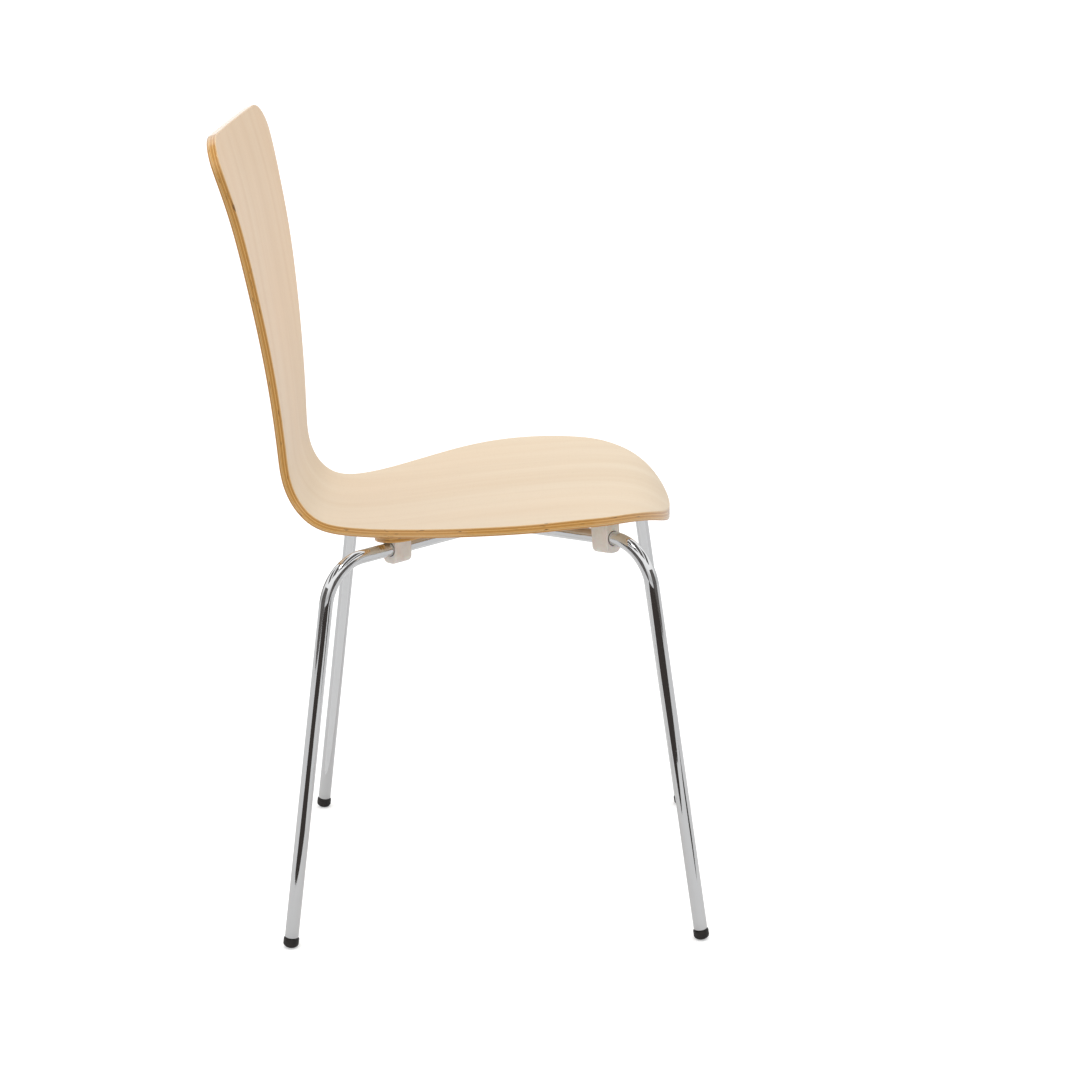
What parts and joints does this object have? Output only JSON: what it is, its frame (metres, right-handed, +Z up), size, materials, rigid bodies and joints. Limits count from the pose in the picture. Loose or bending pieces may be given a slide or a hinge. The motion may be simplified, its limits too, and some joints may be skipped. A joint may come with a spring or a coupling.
{
  "type": "stacking chair",
  "caption": "Stacking chair with a one-piece moulded plywood seat and back, narrow at the waist, on a bent chromed tube frame with plastic clips and glides.",
  "frame": {"origin": "on the floor, under the middle of the overall length and width", "axes": "+X to the front of the seat, +Y to the sitter's left, +Z up"},
  "size_m": [0.5129, 0.4386, 0.8775],
  "materials": {
    "beech_plywood": "clear lacquered beech face veneer, satin",
    "pad_plywood": "lacquered plywood",
    "chromed_tube": "bright chrome plating",
    "plated_steel": "chrome plating over pressed steel and welds",
    "zinc_steel": "zinc-plated steel",
    "insert_brass": "machined",
    "clip_plastic": "off-white moulded nylon",
    "glide_plastic": "black moulded plastic"
  },
  "bodies": {
    "root": {"plywood_shell": "beech_plywood", "mounting_pad": "pad_plywood", "front_leg_tube": "chromed_tube", "rear_leg_tube": "chromed_tube", "mounting_plate": "plated_steel", "plate_washers": "zinc_steel", "plate_screws": "zinc_steel", "threaded_inserts": "insert_brass", "weld_beads": "plated_steel", "front_right_clip": "clip_plastic", "front_right_glide": "glide_plastic", "front_left_clip": "clip_plastic", "front_left_glide": "glide_plastic", "rear_right_clip": "clip_plastic", "rear_right_glide": "glide_plastic", "rear_left_clip": "clip_plastic", "rear_left_glide": "glide_plastic"}
  },
  "joints": []
}
